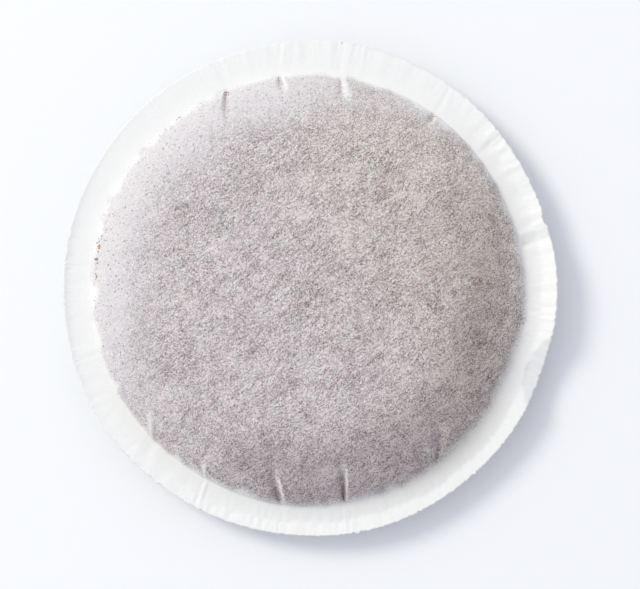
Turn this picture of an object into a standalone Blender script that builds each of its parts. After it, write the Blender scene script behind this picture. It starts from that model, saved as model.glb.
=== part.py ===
"""Soft single-serve coffee pad: two discs of filter paper, sealed round their rim, with ground coffee inside.

The pad lies on a table. Its origin is the middle of the foot that it lies on, +Z is up, and lengths are in
metres. Angles run counterclockwise from +X, seen from above. Each piece is first turned as a flat chart, where
the distance from the middle is a point's ring and its angle gives its column, and each point is then moved to
its real place. Rings 0 to 1 run from the middle to the crease round the pocket, and 1 to 2 to the cut edge.
"""

import math

import bpy

# Outline
POCKET_RADIUS = 0.0304  # out to the crease where the pocket of coffee meets the sealed rim
RIM_WIDTH = 0.0045
POCKET_SHIFT = 0.0003  # the pocket sits this far off the middle of the discs
POCKET_SHIFT_ANGLE = 195

# Paper
PAPER_THICKNESS = 0.00015
SEAL_GAP = 0.0001  # between the two papers in the rim

# Pocket
RIM_HEIGHT = 0.0041  # middle of the seal above the table
CROWN_HEIGHT = 0.0053  # rise of the upper paper from the rim to its top
CROWN_SQUARENESS = 2.6  # higher is flatter on top
CROWN_SHOULDER = 0.5  # lower is steeper at the crease
CROWN_SLUMP = 0.30  # share by which the coffee has slid to one side
CROWN_SLUMP_ANGLE = 325
FOOT_RADIUS = 0.0150  # flat part of the lower paper, which rests on the table
BELLY_SQUARENESS = 2.0
BELLY_SHOULDER = 0.72

# Coffee
COFFEE_CLEARANCE = 0.0003  # from the grounds up to the upper paper and down to the lower one
COFFEE_MARGIN = 0.0014  # from the edge of the grounds to the crease

# Pleats, where the flat discs are drawn down into a pocket: angle, share of the shoulder that is pinched in,
# depth of the fold across the rim
PLEATS = (
    (14, 0.20, 0.00050),
    (36, 0.25, 0.00012),
    (55, 0.45, 0.00012),
    (81, 0.60, 0.00022),
    (98, 0.60, 0.00018),
    (114, 0.75, 0.00014),
    (131, 0.35, 0.00008),
    (152, 0.25, 0.00008),
    (174, 0.30, 0.00008),
    (197, 0.30, 0.00010),
    (221, 0.70, 0.00022),
    (241, 0.50, 0.00022),
    (263, 0.60, 0.00014),
    (280, 0.70, 0.00020),
    (305, 0.55, 0.00016),
    (321, 0.20, 0.00008),
    (338, 0.15, 0.00020),
    (354, 0.20, 0.00012),
)
PLEAT_HALF_WIDTH = 0.00055  # from the bottom of a pleat to the ridge beside it, at the crease
PLEAT_LENGTH = 0.0060  # from the crease inwards
PLEAT_RIDGE = 0.25  # height of the ridge, as a share of the pleat's depth
BELLY_PINCH = 0.5  # pinch of the lower paper's pleats, as a share of the upper paper's

# Lifts and dips of the cut edge: angle, half width in degrees, height
EDGE_LIFTS = (
    (0, 16, 0.00120),
    (30, 20, 0.00045),
    (180, 34, 0.00055),
    (232, 18, -0.00020),
    (310, 22, -0.00035),
    (338, 6, -0.00150),
)
EDGE_CURL = 1.8  # power of the rise across the rim, so that the edge itself turns up

# Gutter along the rim, where it sags and its outer band turns up again
GUTTER_DEPTH = 0.0004
GUTTER_PLACE = 0.6  # share of the way from the crease to the cut edge
GUTTER_ANGLE = 320
GUTTER_REACH = 100  # degrees to each side, where the gutter has run out
GUTTER_FADE = 35  # degrees over which it runs out

# Wander of the two outlines: waves in a turn, height, phase
EDGE_WAVES = ((2, 0.00012, 200), (3, 0.00010, 245), (5, 0.00008, 345), (9, 0.00005, 60))
CREASE_WAVES = ((3, 0.00010, 150), (7, 0.00007, 20))

# Fineness of the mesh: columns round the pad, rings over the crown, up the belly from the foot, and on the rim
COLUMNS_PER_PLEAT = 6
COLUMNS = COLUMNS_PER_PLEAT * len(PLEATS)
CROWN_RINGS = (0.0, 0.30, 0.54, 0.70, 0.81, 0.88, 0.93, 0.967, 0.99)
FOOT_RING = FOOT_RADIUS / POCKET_RADIUS
BELLY_RINGS = (0.0, *(FOOT_RING + (1.0 - FOOT_RING) * wall for wall in (0.0, 0.35, 0.65, 0.87, 0.97)))
RIM_RINGS = (1.0, 1.3, 1.0 + GUTTER_PLACE, 2.0)
COFFEE_EDGE_RING = 1.0 - COFFEE_MARGIN / POCKET_RADIUS

PAPER_COLOUR = (0.90, 0.90, 0.885)
COFFEE_COLOUR = (0.105, 0.058, 0.036)


def clear_scene():
    for obj in list(bpy.data.objects):
        bpy.data.objects.remove(obj)


def new_material(name, colour, roughness):
    material = bpy.data.materials.new(name)
    material.use_nodes = True
    shader = material.node_tree.nodes["Principled BSDF"]
    shader.inputs["Base Color"].default_value = (*colour, 1.0)
    shader.inputs["Roughness"].default_value = roughness
    shader.inputs["Metallic"].default_value = 0.0
    material.diffuse_color = (*colour, 1.0)
    return material


def smooth_step(value):
    value = min(max(value, 0.0), 1.0)
    return value * value * (3.0 - 2.0 * value)


def degrees_apart(angle, place):
    return math.degrees(math.remainder(angle - math.radians(place), math.tau))


def waves(angle, table):
    return sum(height * math.cos(count * angle - math.radians(phase)) for count, height, phase in table)


def crease_radius(angle):
    """Radius of the crease round the pocket, from the middle of the discs."""
    shift = POCKET_SHIFT * math.cos(angle - math.radians(POCKET_SHIFT_ANGLE))
    return POCKET_RADIUS + shift + waves(angle, CREASE_WAVES)


def edge_radius(angle):
    """Radius of the papers' cut edge."""
    return POCKET_RADIUS + RIM_WIDTH + waves(angle, EDGE_WAVES)


def gather(ring):
    """How far the paper is gathered into its pleats: not at all in the middle, fully from the crease on."""
    return smooth_step(1.0 - (1.0 - ring) * POCKET_RADIUS / PLEAT_LENGTH)


def column_angle(column, ring):
    """Angle of a column of points on a ring. The columns beside a pleat draw in to it near the crease."""
    pleat, step = divmod(column, COLUMNS_PER_PLEAT)
    here = math.radians(PLEATS[pleat][0])
    following = math.radians(PLEATS[(pleat + 1) % len(PLEATS)][0])
    span = (following - here) % math.tau
    even = span / COLUMNS_PER_PLEAT
    ridge = even + (PLEAT_HALF_WIDTH / POCKET_RADIUS - even) * gather(ring)
    if step == 0:
        return here
    return here + ridge + (step - 1) * (span - 2.0 * ridge) / (COLUMNS_PER_PLEAT - 2)


def fold(column):
    """Pinch and rim fold at a column: full in a pleat's bottom, turned over on its two ridges, none between."""
    pleat, step = divmod(column, COLUMNS_PER_PLEAT)
    if step == 0:
        part = 1.0
    elif step == 1 or step == COLUMNS_PER_PLEAT - 1:
        part = -PLEAT_RIDGE
    else:
        part = 0.0
    nearest = pleat if step <= 1 else (pleat + 1) % len(PLEATS)
    _, pinch, depth = PLEATS[nearest]
    return part * pinch, part * depth


def crown(ring, column, angle):
    """Rise of the upper paper above the rim, inside the crease."""
    pinch, _ = fold(column)
    dome = CROWN_HEIGHT * (1.0 - ring**CROWN_SQUARENESS) ** CROWN_SHOULDER
    slump = CROWN_SLUMP * ring * (1.0 - ring * ring) * math.cos(angle - math.radians(CROWN_SLUMP_ANGLE))
    return dome * (1.0 + slump) * (1.0 - pinch * gather(ring))


def belly(ring, column, _angle):
    """Rise of the lower paper above the rim, inside the crease: negative, and deepest over the whole foot."""
    pinch, _ = fold(column)
    wall = max(ring - FOOT_RING, 0.0) / (1.0 - FOOT_RING)
    cup = (1.0 - wall**BELLY_SQUARENESS) ** BELLY_SHOULDER
    depth = RIM_HEIGHT - SEAL_GAP / 2.0 - PAPER_THICKNESS
    return -depth * cup * (1.0 - BELLY_PINCH * pinch * gather(ring))


def gutter(across, angle):
    """Depth of the gutter along the rim."""
    here = smooth_step((GUTTER_REACH - abs(degrees_apart(angle, GUTTER_ANGLE))) / GUTTER_FADE)
    return GUTTER_DEPTH * here * min(across / GUTTER_PLACE, (1.0 - across) / (1.0 - GUTTER_PLACE))


def rim_rise(ring, column, angle):
    """Rise of the rim above the level of its seal."""
    _, depth = fold(column)
    across = ring - 1.0
    lift = 0.0
    for place, half_width, height in EDGE_LIFTS:
        lift += height * math.exp(-((degrees_apart(angle, place) / half_width) ** 2))
    crease_fold = depth * smooth_step(across / (RIM_RINGS[1] - 1.0))
    return lift * across**EDGE_CURL - gutter(across, angle) - crease_fold


def real_place(ring, column, level, pocket_rise):
    """The real place of a chart's point, on a face whose rim is at a level and whose pocket rises by a rule."""
    angle = column_angle(column, ring)
    crease = crease_radius(angle)
    if ring < 1.0:
        radius = crease * ring
        rise = pocket_rise(ring, column, angle)
    else:
        radius = crease + (edge_radius(angle) - crease) * (ring - 1.0)
        rise = rim_rise(ring, column, angle)
    return radius * math.cos(angle), radius * math.sin(angle), level + rise


def chart_place(point):
    """Ring and column of a point on a turned chart."""
    column = round(math.atan2(point.y, point.x) / math.tau * COLUMNS) % COLUMNS
    return math.hypot(point.x, point.y), column


def turned_chart(name, profile):
    """The mesh of an (x, z) profile turned about Z. Where it runs outwards, its faces look up."""
    guide_mesh = bpy.data.meshes.new(name + "_profile")
    points = [(x, 0.0, z) for x, z in profile]
    guide_mesh.from_pydata(points, [(i, i + 1) for i in range(len(points) - 1)], [])
    guide = bpy.data.objects.new(name + "_profile", guide_mesh)
    bpy.context.scene.collection.objects.link(guide)
    screw = guide.modifiers.new("turn", "SCREW")
    screw.steps = COLUMNS
    screw.render_steps = COLUMNS
    screw.use_merge_vertices = True
    screw.merge_threshold = 0.00001
    graph = bpy.context.evaluated_depsgraph_get()
    mesh = bpy.data.meshes.new_from_object(guide.evaluated_get(graph))
    mesh.name = name
    bpy.data.objects.remove(guide)
    return mesh


def finish_object(mesh, material, collection):
    mesh.shade_smooth()
    mesh.materials.append(material)
    obj = bpy.data.objects.new(mesh.name, mesh)
    collection.objects.link(obj)
    return obj


def filter_sheet(name, rings, outer_level, pocket_rise, outside, material, collection):
    """A disc of filter paper, drawn by its outer face, which looks up or down, and thickened inwards."""
    mesh = turned_chart(name, [(ring, 0.0) for ring in rings])
    if outside == "down":
        mesh.flip_normals()
    for vertex in mesh.vertices:
        ring, column = chart_place(vertex.co)
        vertex.co = real_place(ring, column, outer_level, pocket_rise)
    paper = finish_object(mesh, material, collection).modifiers.new("paper", "SOLIDIFY")
    paper.thickness = PAPER_THICKNESS
    paper.offset = -1.0


def upper_filter_sheet(material, collection):
    outer_level = RIM_HEIGHT + SEAL_GAP / 2.0 + PAPER_THICKNESS
    rings = CROWN_RINGS + RIM_RINGS
    filter_sheet("upper_filter_sheet", rings, outer_level, crown, "up", material, collection)


def lower_filter_sheet(material, collection):
    outer_level = RIM_HEIGHT - SEAL_GAP / 2.0 - PAPER_THICKNESS
    rings = BELLY_RINGS + RIM_RINGS
    filter_sheet("lower_filter_sheet", rings, outer_level, belly, "down", material, collection)


def coffee_bed(material, collection):
    """The bed of grounds, which fills the pocket up to its clearance from both papers."""
    top = [ring for ring in CROWN_RINGS if ring < COFFEE_EDGE_RING] + [COFFEE_EDGE_RING]
    bottom = [ring for ring in BELLY_RINGS if ring < COFFEE_EDGE_RING] + [COFFEE_EDGE_RING]
    profile = [(ring, 1.0) for ring in top] + [(ring, -1.0) for ring in reversed(bottom)]
    mesh = turned_chart("coffee_bed", profile)
    top_level = RIM_HEIGHT + SEAL_GAP / 2.0 - COFFEE_CLEARANCE
    bottom_level = RIM_HEIGHT - SEAL_GAP / 2.0 + COFFEE_CLEARANCE
    for vertex in mesh.vertices:
        ring, column = chart_place(vertex.co)
        if vertex.co.z > 0.0:
            vertex.co = real_place(ring, column, top_level, crown)
        else:
            vertex.co = real_place(ring, column, bottom_level, belly)
    finish_object(mesh, material, collection)


def build():
    clear_scene()
    collection = bpy.data.collections.new("coffee_pad")
    bpy.context.scene.collection.children.link(collection)
    paper = new_material("filter_paper", PAPER_COLOUR, 0.9)
    grounds = new_material("coffee_grounds", COFFEE_COLOUR, 0.85)
    upper_filter_sheet(paper, collection)
    lower_filter_sheet(paper, collection)
    coffee_bed(grounds, collection)


build()
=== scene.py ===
"""Looks of the soft coffee pad: crinkled filter paper over a bed of ground coffee, seen from straight above.

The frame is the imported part, in metres. Angles are in degrees, counterclockwise from +X as seen from above.
Across a sheet, ring 0 is its middle, ring 1 the crease round the pocket and ring 2 the cut edge.
"""

import math
from collections import namedtuple

import bpy
import numpy as np
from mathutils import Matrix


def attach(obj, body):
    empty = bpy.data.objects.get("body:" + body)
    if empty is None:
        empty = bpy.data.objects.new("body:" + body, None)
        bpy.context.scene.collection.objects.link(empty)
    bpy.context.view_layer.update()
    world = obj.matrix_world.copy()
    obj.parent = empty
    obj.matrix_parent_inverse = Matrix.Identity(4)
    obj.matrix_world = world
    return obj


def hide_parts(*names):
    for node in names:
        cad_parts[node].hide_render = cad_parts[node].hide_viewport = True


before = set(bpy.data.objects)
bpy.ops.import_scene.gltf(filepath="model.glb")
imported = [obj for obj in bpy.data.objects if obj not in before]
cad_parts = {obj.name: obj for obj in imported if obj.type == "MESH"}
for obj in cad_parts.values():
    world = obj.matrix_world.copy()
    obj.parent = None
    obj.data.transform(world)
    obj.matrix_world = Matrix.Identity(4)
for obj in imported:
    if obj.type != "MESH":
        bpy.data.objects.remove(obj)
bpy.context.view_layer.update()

MM = 0.001

# Forms that the tables below are made of, with angles and widths in degrees
Place = namedtuple("Place", "angle half_width amount")  # fades to both sides of its angle
Side = namedtuple("Side", "angle reach fade")  # runs to its reach on both sides of its angle
Ripple = namedtuple("Ripple", "height fewest most seed")  # random waves round the pad, so many in a turn
Lumps = namedtuple("Lumps", "height shortest longest seed")  # random bumps of a surface

# Picture
PICTURE_WIDTH = 640
PICTURE_HEIGHT = 589
PAD_MIDDLE_PX = (309.5, 289.0)
METRES_PER_PX = 0.1415 * MM
LENS = 100.0
SENSOR = 36.0

# Sizes of the part
POCKET_RADIUS = 30.4 * MM
RIM_WIDTH = 4.5 * MM
POCKET_SHIFT = 0.3 * MM
POCKET_SHIFT_ANGLE = 195
PAPER_THICKNESS = 0.15 * MM
SEAL_GAP = 0.1 * MM
RIM_HEIGHT = 4.1 * MM
CROWN_HEIGHT = 5.3 * MM
CROWN_SQUARENESS = 2.6
CROWN_SHOULDER = 0.5
CROWN_SLUMP = 0.30
CROWN_SLUMP_ANGLE = 325
FOOT_RADIUS = 15.0 * MM
FOOT_RING = FOOT_RADIUS / POCKET_RADIUS
BELLY_SQUARENESS = 2.0
BELLY_SHOULDER = 0.72
COFFEE_MARGIN = 1.4 * MM
CREASE_WAVES = ((3, 0.10 * MM, 150), (7, 0.07 * MM, 20))
EDGE_WAVES = ((2, 0.12 * MM, 200), (3, 0.10 * MM, 245), (5, 0.08 * MM, 345), (9, 0.05 * MM, 60))

# Levels of the papers' faces in the seal
UPPER_INNER = RIM_HEIGHT + SEAL_GAP / 2.0
UPPER_OUTER = UPPER_INNER + PAPER_THICKNESS
LOWER_INNER = RIM_HEIGHT - SEAL_GAP / 2.0
LOWER_OUTER = LOWER_INNER - PAPER_THICKNESS

# Lumps of the papers over the coffee, which fade towards the crease
CROWN_LUMPS = (Lumps(0.055 * MM, 3.5 * MM, 11.0 * MM, 11), Lumps(0.022 * MM, 1.3 * MM, 3.2 * MM, 12))
BELLY_LUMPS = Lumps(0.050 * MM, 3.0 * MM, 9.0 * MM, 13)
LUMPS_FADE = 2.5 * MM
BELLY_LUMPS_START = 0.12  # share of the way up the belly's wall
BELLY_LUMPS_RISE = 0.30

# Crease on the lower right, where the paper leaves the pocket in a soft curve and stands a little higher
LIFTED_SIDE = Side(300, 120, 60)
CREASE_LIFT = 0.30 * MM
CREASE_LIFT_REACH = 1.3 * MM

# Cut edge: a swelling, the notch beside the step, and the small teeth that the cutter leaves
EDGE_SWELLS = (Place(318, 30, 0.12 * MM), Place(16.6, 1.7, -0.36 * MM))
UPPER_TEETH = Ripple(0.065 * MM, 60, 420, 51)
LOWER_TEETH = UPPER_TEETH._replace(seed=52)

# Lift of the rim towards its cut edge
EdgeLift = namedtuple("EdgeLift", "angle half_width height curl")  # a higher curl keeps to the outermost band
EDGE_LIFTS = (
    EdgeLift(0, 16, 1.20 * MM, 1.8),
    EdgeLift(30, 20, 0.45 * MM, 1.8),
    EdgeLift(180, 34, 0.40 * MM, 6.0),
    EdgeLift(232, 18, -0.20 * MM, 1.8),
    EdgeLift(310, 22, -0.35 * MM, 1.8),
)

# Gutter along the rim, where it sags and its outer band turns up again
GUTTER_SIDE = Side(320, 100, 35)
GUTTER_DEPTH = 0.4 * MM
GUTTER_PLACE = 0.6  # share of the way from the crease to the cut edge
GUTTER_WANDER = (Ripple(0.035, 4, 30, 34), Ripple(0.030, 40, 220, 36))
GUTTER_SOFTNESS = 0.003

# Folded corner of the rim: it turns down outside a fold line that bows inwards on the rim, from past the
# cut edge to its tip and back. Places on the line are shares of the way from the crease to the cut edge
CORNER_ANGLE = 340.3
CORNER_HALF_WIDTH = 9.0
CORNER_TIP = 0.53
CORNER_ENDS = 1.05
CORNER_BOW = 2.6
CORNER_WANDER = Ripple(0.012, 20, 120, 35)
CORNER_SLOPE = 0.50
CORNER_SOFTNESS = 0.006

# Step across the rim: the paper slopes down clockwise over the run and stands up again sharply at its end
STEP_ANGLE = 13.0
STEP_RUN = (-0.70 * MM, 0.95 * MM)
STEP_LEAN = 0.25 * MM  # how far the step lies further round at the cut edge than at the crease
STEP_RISE = 0.22 * MM
STEP_DEPTH = 0.65 * MM
STEP_START = 0.25  # share of the rim's width over which the step deepens

# Crinkles of the rim, strongest on the upturned side. Their start and the place where they are full are
# shares of the way from the crease to the cut edge
Crinkle = namedtuple("Crinkle", "ripple start full")
CRINKLES = (
    Crinkle(Ripple(0.030 * MM, 110, 260, 32), 0.25, 0.75),
    Crinkle(Ripple(0.050 * MM, 24, 90, 33), 0.05, 0.65),
)
CRINKLE_SKEW = Ripple(1.2, 6, 30, 31)  # degrees by which they wander as they run out to the cut edge
CRINKLED_EVERYWHERE = 0.30
CRINKLED_PLACES = (Place(27, 22, 0.85), Place(90, 14, 0.2), Place(350, 14, 0.3), Place(27, 10, 0.4))
SMOOTH_PLACE = Place(14, 3, 0.85)

# Pleats: angle at the crease, half width, reach inwards from the crease, slant inwards (above 0 it runs
# counterclockwise), share of the height pinched in, side of the white flap beside it, how far the flap
# stands up and how broad it is, how dark the paper shows in the groove (partly paper pressed on the
# coffee, partly painted shade in the groove), depth and half width of the fold over the rim
Pleat = namedtuple("Pleat", "angle half_width reach slant pinch side flap leaf press rim_fold rim_width")
PLEATS = (
    Pleat(13.75, 0.60 * MM, 3.0 * MM, 0.00, 0.10, 1, 0.0, 0.30 * MM, 0.0, 0.00 * MM, 0.30 * MM),
    Pleat(38.75, 0.40 * MM, 2.5 * MM, 0.00, 0.08, 1, 0.0, 0.30 * MM, 0.0, 0.03 * MM, 0.30 * MM),
    Pleat(54.50, 0.40 * MM, 2.4 * MM, 0.00, 0.40, -1, 0.7, 0.35 * MM, 0.6, 0.04 * MM, 0.30 * MM),
    Pleat(81.90, 0.22 * MM, 4.4 * MM, -0.30, 0.16, -1, 1.0, 0.85 * MM, 0.2, 0.020 * MM, 0.30 * MM),
    Pleat(98.25, 0.42 * MM, 3.2 * MM, -0.10, 0.40, -1, 0.8, 0.45 * MM, 0.5, 0.020 * MM, 0.35 * MM),
    Pleat(112.9, 0.46 * MM, 5.2 * MM, 0.46, 0.45, 1, 0.6, 0.30 * MM, 0.75, 0.030 * MM, 0.35 * MM),
    Pleat(130.5, 0.28 * MM, 1.4 * MM, 0.00, 0.20, 1, 0.2, 0.30 * MM, 0.4, 0.02 * MM, 0.25 * MM),
    Pleat(152.0, 0.40 * MM, 2.0 * MM, 0.00, 0.08, 1, 0.1, 0.30 * MM, 0.0, 0.02 * MM, 0.30 * MM),
    Pleat(174.0, 0.40 * MM, 2.0 * MM, 0.00, 0.10, 1, 0.2, 0.30 * MM, 0.0, 0.02 * MM, 0.30 * MM),
    Pleat(197.0, 0.40 * MM, 2.4 * MM, 0.00, 0.08, 1, 0.1, 0.30 * MM, 0.0, 0.03 * MM, 0.30 * MM),
    Pleat(224.2, 0.30 * MM, 3.1 * MM, -0.96, 0.12, -1, 1.3, 0.75 * MM, 0.6, 0.10 * MM, 0.70 * MM),
    Pleat(241.8, 0.18 * MM, 2.4 * MM, -0.50, 0.10, -1, 1.3, 0.42 * MM, 0.1, -0.10 * MM, 0.22 * MM),
    Pleat(262.3, 0.62 * MM, 6.0 * MM, -0.50, 0.50, 1, 0.8, 0.34 * MM, 1.0, 0.03 * MM, 0.28 * MM),
    Pleat(279.1, 0.44 * MM, 6.4 * MM, 0.12, 0.58, 1, 0.7, 0.28 * MM, 1.0, -0.05 * MM, 0.16 * MM),
    Pleat(305.6, 0.66 * MM, 5.6 * MM, 1.10, 0.42, -1, 0.1, 0.30 * MM, 1.0, 0.00 * MM, 0.40 * MM),
    Pleat(321.0, 0.40 * MM, 2.4 * MM, 0.00, 0.04, 1, 0.0, 0.30 * MM, 0.0, 0.02 * MM, 0.30 * MM),
    Pleat(338.0, 0.40 * MM, 2.4 * MM, 0.00, 0.04, 1, 0.0, 0.30 * MM, 0.0, 0.00 * MM, 0.30 * MM),
    Pleat(354.0, 0.40 * MM, 2.0 * MM, 0.00, 0.08, 1, 0.0, 0.30 * MM, 0.1, 0.05 * MM, 0.40 * MM),
)

# A pleat's groove: width at the crease and gain in width, as shares of the half width, and the share of the
# reach over which it opens
VALLEY_WIDTH = 0.40
VALLEY_GAIN = 0.90
VALLEY_OPENING = 0.50

# The flap beside a pleat: height, width at the crease and gain in width as shares of its breadth, the share
# of the reach over which it opens, where it ends and fades, and how far from the crease it rises
FLAP_HEIGHT = 0.14 * MM
FLAP_WIDTH = 0.40
FLAP_GAIN = 0.60
FLAP_OPENING = 0.70
FLAP_END = 0.90
FLAP_FADE = 0.35
FLAP_SQUARENESS = 2.6
FLAP_START = 0.5 * MM

# A pleat's fold over the rim: how much of the slant it keeps, and the low ridge on each side of it
FOLD_DRIFT = 0.30
FOLD_RIDGE = 0.30
FOLD_RIDGE_PLACE = 2.2
FOLD_RIDGE_WIDTH = 0.9
FOLD_START = 0.2
FOLD_FADE = 0.5
BELLY_PINCH = 0.5  # pinch of the lower paper's pleats, as a share of the upper paper's

# Coffee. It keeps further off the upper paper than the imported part's plain bed does, so that no grain
# comes through
BED_CLEARANCE = 0.62 * MM
BED_COLUMNS = 240
BED_RINGS = 34
BED_CROWDING = 1.4
BED_ROUNDING = 0.6 * MM  # of its upper and lower edge
BED_ROUNDING_START = 0.93
BED_WAIST = 0.18 * MM  # how far its side bulges
BED_LUMPS = Lumps(0.05 * MM, 0.9 * MM, 2.6 * MM, 61)
GRAINS_PER_MM2 = 1.0
GRAIN_SIZES = (0.30 * MM, 0.75 * MM)
GRAIN_STRETCH = ((0.28, 0.36, 0.44), (0.44, 0.50, 0.60))  # shares of the size, shortest and longest
LOOSE_GRAIN_RISE = 0.12  # of a loose grain's middle above the paper, as a share of its size

# Loose grounds caught at the crease: angle, half width in degrees, distance inwards from the crease, half
# width of the row, number of grains, smallest and largest, lowest and highest tone (0 is dark roast, 1 is
# orange chaff), and how far the paper over them veils them
LooseRow = namedtuple("LooseRow", "angle spread inside breadth count smallest largest dark light veil")
LOOSE_ROWS = (
    LooseRow(171.5, 8.5, 0.45 * MM, 0.30 * MM, 30, 0.14 * MM, 0.34 * MM, 0.40, 1.00, 0.35),
    LooseRow(168.7, 0.4, 0.55 * MM, 0.12 * MM, 2, 0.45 * MM, 0.60 * MM, 0.95, 1.00, 0.25),
    LooseRow(172.0, 0.3, 0.50 * MM, 0.10 * MM, 2, 0.40 * MM, 0.55 * MM, 0.45, 0.60, 0.30),
    LooseRow(182.5, 2.5, 0.35 * MM, 0.25 * MM, 4, 0.16 * MM, 0.24 * MM, 0.20, 0.50, 0.40),
    LooseRow(127.5, 0.8, 0.05 * MM, 0.12 * MM, 5, 0.13 * MM, 0.22 * MM, 0.10, 0.90, 0.20),
    LooseRow(112.9, 0.5, 0.45 * MM, 0.45 * MM, 12, 0.14 * MM, 0.26 * MM, 0.35, 0.80, 0.10),
    LooseRow(98.2, 0.4, 0.45 * MM, 0.35 * MM, 5, 0.12 * MM, 0.20 * MM, 0.30, 0.60, 0.20),
    LooseRow(54.5, 0.9, 0.35 * MM, 0.25 * MM, 7, 0.13 * MM, 0.22 * MM, 0.60, 0.95, 0.30),
    LooseRow(90.0, 0.6, 8.05 * MM, 0.30 * MM, 3, 0.14 * MM, 0.22 * MM, 0.20, 0.95, 0.20),
    LooseRow(305.6, 0.6, 0.50 * MM, 0.35 * MM, 7, 0.14 * MM, 0.24 * MM, 0.40, 0.65, 0.15),
    LooseRow(279.4, 0.3, 0.45 * MM, 0.40 * MM, 6, 0.12 * MM, 0.20 * MM, 0.30, 0.60, 0.10),
    LooseRow(4.0, 16.0, 0.25 * MM, 0.30 * MM, 24, 0.12 * MM, 0.20 * MM, 0.25, 0.60, 0.15),
    LooseRow(43.8, 1.4, 0.25 * MM, 0.15 * MM, 10, 0.12 * MM, 0.19 * MM, 0.40, 0.70, 0.20),
    LooseRow(129.0, 9.0, 0.10 * MM, 0.18 * MM, 24, 0.10 * MM, 0.17 * MM, 0.05, 0.50, 0.30),
    LooseRow(335.0, 14.0, 0.30 * MM, 0.30 * MM, 12, 0.11 * MM, 0.18 * MM, 0.15, 0.50, 0.15),
    LooseRow(9.6, 0.3, 9.70 * MM, 0.30 * MM, 3, 0.14 * MM, 0.24 * MM, 0.50, 0.65, 0.30),
)

# Edge of the coffee under the upper paper: places where it stays back from the crease, bays in it on the
# left, and its overlap past the crease and its fade, each on the lit and on the shaded side. The longer
# overlap and softer fade on the shaded side are partly coffee dust in the seam and partly painted shade
# on the rim beside the crown
SHADED_SIDE = Side(320, 100, 60)
COFFEE_BACK = (
    Place(54, 16, 0.40 * MM),
    Place(14, 9, 0.25 * MM),
    Place(248, 12, 0.30 * MM),
    Place(352, 10, -0.35 * MM),
)
COFFEE_WANDER = Ripple(0.13 * MM, 8, 70, 41)
BAYS = Ripple(1.0, 10, 34, 43)
BAYS_LEVEL = 0.35
BAYS_SOFTNESS = 1.3
BAYS_PLACE = Place(198, 42, 1.3 * MM)
BAYS_GAP = Place(222, 11, 1.0)
COFFEE_AND_SHADE_OVERLAP = (0.40 * MM, 0.75 * MM)
COFFEE_AND_SHADE_FADE = (1.00 * MM, 1.70 * MM)
FLAP_CLEARING = 0.82  # how much of the coffee a full flap hides

# Loose coffee near the crease on the upper left, and a brow of it at the upper right
LOOSE_SIDE = Side(143, 97, 60)
LOOSE_REACH = 10.0 * MM
LOOSE_DEEPER = Place(158, 30, 2.5 * MM)
LOOSE_WANDER = Ripple(0.8 * MM, 3, 14, 42)
LOOSE_FADE = 0.85  # share of the reach
BROW = Place(60, 18, 0.60)
BROW_REACH = 3.2 * MM
BROW_FADE = 2.2 * MM

# Painted shade on the lower right, the side away from the light, laid on as a darker tint of the paper
# over the coffee, and the place where that painted shade is eased again
SHADE_PAINTED_SIDE = Side(315, 92, 42)
SHADE_PAINTED_DEPTH = 0.44
SHADE_PAINTED_REACH = 12.5 * MM
SHADE_PAINTED_FADE = 7.0 * MM
EASED = Place(3, 20, 0.9)
EASED_REACH = 3.0 * MM
EASED_FADE = 1.6 * MM

# Grey tint of the rim beside the coffee, which runs out across the rim: partly a coffee stain and partly
# painted shade where the crown shades the rim, strongest on the lower right, away from the light
RIM_STAINS_AND_SHADE = (
    Place(312, 24, 0.95),
    Place(222, 24, 0.35),
    Place(265, 28, 0.25),
    Place(30, 26, 0.25),
    Place(358, 20, 0.30),
)
STAIN_AND_SHADE_REACH = 0.7875
STAIN_AND_SHADE_FADE = 0.75

# Long fibres of the paper: heading in degrees, thickness and length in millimetres, shift and strength
Strand = namedtuple("Strand", "heading thickness length shift strength")
STRANDS = (
    Strand(34.0, 0.085, 0.42, 3.1, 0.27),
    Strand(56.0, 0.085, 0.38, 7.7, 0.26),
    Strand(12.0, 0.080, 0.36, 12.9, 0.17),
    Strand(88.0, 0.080, 0.32, 17.3, 0.15),
    Strand(140.0, 0.080, 0.32, 23.9, 0.15),
)
BRUSH = Strand(42.0, 0.13, 0.60, 29.1, 0.70)
WISP = Strand(40.0, 0.50, 2.2, 41.3, 0.45)
HUE = Strand(42.0, 1.1, 2.6, 57.9, 1.0)

# Grain of the coffee as it shows through the paper: sizes in millimetres, and how far each layer moves the
# tone, which is darkest at 0 and palest at 1
TONE_BASE = 0.455
FLEECE_STRENGTH = 0.55
SALT_SIZE = 0.10
SALT_STRENGTH = 1.10
PEPPER_SIZE = 0.12
PEPPER_STRENGTH = 1.3
SPECK_SIZE = 0.15
SPECK_STRENGTH = 0.9
CLUMP_SIZE = 2.3
CLUMP_STRENGTH = 0.38
PATCH_SIZE = 7.0
PATCH_STRENGTH = 0.35
EDGE_GRAIN_SIZE = 0.24  # of the lumps that break up the coffee's edge
LONE_SPECK_SIZE = 0.20  # of the specks in loose coffee

# Colours of the paper: over coffee by tone, tints of that, over loose coffee and bare
COFFEE_TONES = (
    (0.0, (0.150, 0.116, 0.118)),
    (0.35, (0.368, 0.320, 0.336)),
    (0.60, (0.520, 0.472, 0.492)),
    (1.0, (0.780, 0.745, 0.765)),
)
ROSY_TINT = (1.020, 0.990, 1.003, 1.0)
OLIVE_TINT = (0.990, 1.006, 0.992, 1.0)
BROWN_TINT = (1.010, 1.000, 0.930, 1.0)
BROWN_HEADING = 22.0
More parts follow.
